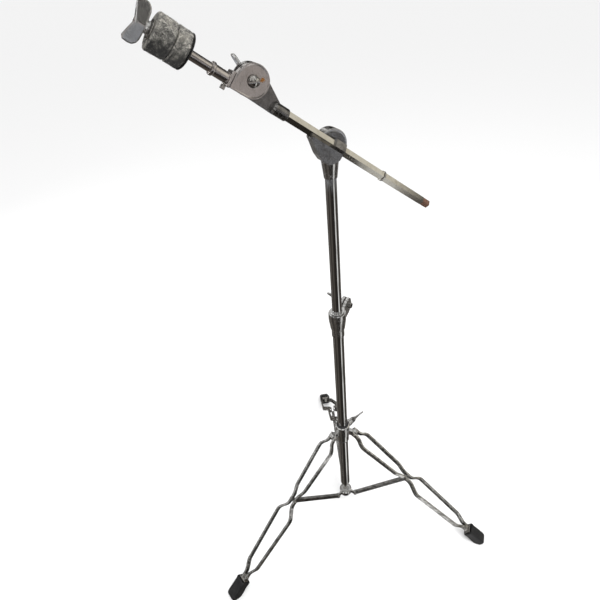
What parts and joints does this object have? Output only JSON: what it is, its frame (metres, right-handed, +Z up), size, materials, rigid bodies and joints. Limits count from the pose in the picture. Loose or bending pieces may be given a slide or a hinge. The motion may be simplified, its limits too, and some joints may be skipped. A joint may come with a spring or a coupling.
{
  "type": "cymbal boom stand",
  "caption": "Chrome double-braced tripod stand with a sliding mast, a hexagonal tilting boom, a tilter and a felted cymbal post held by a wing nut.",
  "frame": {"origin": "middle of the whole stand's box at floor level, with the stand set up and the boom raised", "axes": "+Z up along the main tube; the main tube stands beside the origin because the boom leans out to one side"},
  "size_m": [0.6052, 0.5748, 1.1591],
  "materials": {
    "tube_chrome": "bright plated, light scratches",
    "cast_chrome": "bright plated casting",
    "satin_chrome": "satin plated face",
    "wing_chrome": "bright plated",
    "hardware_steel": "plated hardware",
    "boom_chrome": "bright plated hexagonal bar",
    "worn_tip": "worn and tarnished end",
    "strap_chrome": "bright plated, pitted",
    "dark_steel": "dark seat plate",
    "nylon": "moulded",
    "wool_felt": "pressed mottled wool felt",
    "foot_rubber": "moulded, matt"
  },
  "bodies": {
    "base": {"lower_tube": "tube_chrome", "base_stud": "hardware_steel", "brace_hub": "cast_chrome", "hub_nut": "hardware_steel", "hub_pins": "hardware_steel", "height_clamp": "cast_chrome", "height_pins": "hardware_steel", "height_nut": "hardware_steel"},
    "collar": {"tripod_collar": "cast_chrome", "collar_bush": "nylon"},
    "tripod_bolt": {"tripod_wing_bolt": "wing_chrome"},
    "height_bolt": {"height_wing_bolt": "wing_chrome"},
    "bush": {"height_bush": "cast_chrome"},
    "mast": {"upper_tube": "tube_chrome", "upper_guide": "nylon", "boom_socket": "cast_chrome", "socket_pins": "hardware_steel"},
    "boom_clamp": {"boom_holder": "cast_chrome", "boom_bolt": "hardware_steel", "boom_washer": "hardware_steel"},
    "boom_nut": {"boom_wing_nut": "wing_chrome"},
    "boom": {"boom_rod": "boom_chrome", "boom_end_cap": "worn_tip", "boom_stop_ring": "hardware_steel", "tilter_base": "cast_chrome", "tilter_disc": "nylon", "tilter_bolt": "hardware_steel"},
    "tilter_nut": {"tilter_wing_nut": "wing_chrome"},
    "cymbal_end": {"tilter_head": "satin_chrome", "set_screw": "hardware_steel", "cymbal_post": "satin_chrome", "seat_cup": "dark_steel", "post_sleeve": "nylon", "lower_felt": "wool_felt"},
    "top_felt": {"upper_felt": "wool_felt", "top_washer": "hardware_steel"},
    "top_nut": {"top_wing_nut": "wing_chrome"},
    "leg_1": {"leg_1_strap_left": "strap_chrome", "leg_1_strap_right": "strap_chrome", "leg_1_rivets": "hardware_steel", "leg_1_core": "hardware_steel", "leg_1_ferrule": "hardware_steel", "leg_1_foot": "foot_rubber"},
    "brace_1": {"brace_1": "strap_chrome"},
    "leg_2": {"leg_2_strap_left": "strap_chrome", "leg_2_strap_right": "strap_chrome", "leg_2_rivets": "hardware_steel", "leg_2_core": "hardware_steel", "leg_2_ferrule": "hardware_steel", "leg_2_foot": "foot_rubber"},
    "brace_2": {"brace_2": "strap_chrome"},
    "leg_3": {"leg_3_strap_left": "strap_chrome", "leg_3_strap_right": "strap_chrome", "leg_3_rivets": "hardware_steel", "leg_3_core": "hardware_steel", "leg_3_ferrule": "hardware_steel", "leg_3_foot": "foot_rubber"},
    "brace_3": {"brace_3": "strap_chrome"}
  },
  "joints": [
    {"name": "tripod_slide", "type": "slide", "parent": "base", "child": "collar", "axis": [0, 0, 1], "range_m": [0, 0.10899]},
    {"name": "tripod_wing_bolt_turn", "type": "hinge", "parent": "collar", "child": "tripod_bolt", "pos_m": [-0.00822, -0.04247, 0.283], "axis": [0.7727, 0.6347, 0], "range_deg": [0, 270]},
    {"name": "leg_1_hinge", "type": "hinge", "parent": "collar", "child": "leg_1", "pos_m": [-0.04971, -0.07655, 0.2752], "axis": [0.6347, -0.7727, 0], "range_deg": [-0.02, 44.41]},
    {"name": "brace_1_hinge", "type": "hinge", "parent": "base", "child": "brace_1", "pos_m": [-0.04686, -0.0742, 0.0363], "axis": [-0.6347, 0.7727, 0], "range_deg": [-0.02, 40.44]},
    {"name": "leg_2_hinge", "type": "hinge", "parent": "collar", "child": "leg_2", "pos_m": [0.00104, -0.06815, 0.2752], "axis": [0.3518, 0.9361, 0], "range_deg": [-0.02, 44.41]},
    {"name": "brace_2_hinge", "type": "hinge", "parent": "base", "child": "brace_2", "pos_m": [-0.00243, -0.06685, 0.0363], "axis": [-0.3518, -0.9361, 0], "range_deg": [-0.02, 40.44]},
    {"name": "leg_3_hinge", "type": "hinge", "parent": "collar", "child": "leg_3", "pos_m": [-0.03161, -0.0284, 0.2752], "axis": [-0.9866, -0.1633, 0], "range_deg": [-0.02, 44.41]},
    {"name": "brace_3_hinge", "type": "hinge", "parent": "base", "child": "brace_3", "pos_m": [-0.03101, -0.03205, 0.0363], "axis": [0.9866, 0.1633, 0], "range_deg": [-0.02, 40.44]},
    {"name": "height_wing_bolt_turn", "type": "hinge", "parent": "base", "child": "height_bolt", "pos_m": [-0.00822, -0.02684, 0.616], "axis": [-0.8572, 0.515, 0], "range_deg": [0, 270]},
    {"name": "mast_turn", "type": "hinge", "parent": "base", "child": "bush", "pos_m": [-0.02676, -0.0577, 0.622], "axis": [0, 0, 1], "continuous": true},
    {"name": "mast_slide", "type": "slide", "parent": "bush", "child": "mast", "axis": [0, 0, 1], "range_m": [-0.262, 0.105]},
    {"name": "boom_tilt", "type": "hinge", "parent": "mast", "child": "boom_clamp", "pos_m": [-0.02676, -0.0577, 0.95], "axis": [-0.4787, 0.878, 0], "range_deg": [-60, 50]},
    {"name": "boom_wing_nut_turn", "type": "hinge", "parent": "boom_clamp", "child": "boom_nut", "pos_m": [-0.03246, -0.04725, 0.95], "axis": [-0.4787, 0.878, 0], "range_deg": [0, 270]},
    {"name": "boom_slide", "type": "slide", "parent": "boom_clamp", "child": "boom", "axis": [-0.6909, -0.3767, 0.617], "range_m": [-0.045, 0.082]},
    {"name": "tilter_tilt", "type": "hinge", "parent": "boom", "child": "cymbal_end", "pos_m": [-0.12047, -0.13556, 1.06089], "axis": [-0.4787, 0.878, 0], "range_deg": [-80, 90]},
    {"name": "tilter_wing_nut_turn", "type": "hinge", "parent": "boom", "child": "tilter_nut", "pos_m": [-0.12526, -0.12678, 1.06089], "axis": [-0.4787, 0.878, 0], "range_deg": [0, 270]},
    {"name": "felt_lift", "type": "slide", "parent": "cymbal_end", "child": "top_felt", "axis": [-0.6909, -0.3767, 0.617], "range_m": [0, 0.0125]},
    {"name": "top_wing_nut_turn", "type": "hinge", "parent": "top_felt", "child": "top_nut", "pos_m": [-0.21405, -0.18658, 1.12731], "axis": [-0.6909, -0.3767, 0.617], "range_deg": [-0.5, 3600.5]}
  ],
  "couplings": [
    {"joint": "leg_1_hinge", "follows": "tripod_slide", "rad_per_m": 7.1082},
    {"joint": "brace_1_hinge", "follows": "tripod_slide", "rad_per_m": 6.473},
    {"joint": "leg_2_hinge", "follows": "tripod_slide", "rad_per_m": 7.1082},
    {"joint": "brace_2_hinge", "follows": "tripod_slide", "rad_per_m": 6.473},
    {"joint": "leg_3_hinge", "follows": "tripod_slide", "rad_per_m": 7.1082},
    {"joint": "brace_3_hinge", "follows": "tripod_slide", "rad_per_m": 6.473},
    {"joint": "top_wing_nut_turn", "follows": "felt_lift", "rad_per_m": 5026.5}
  ]
}
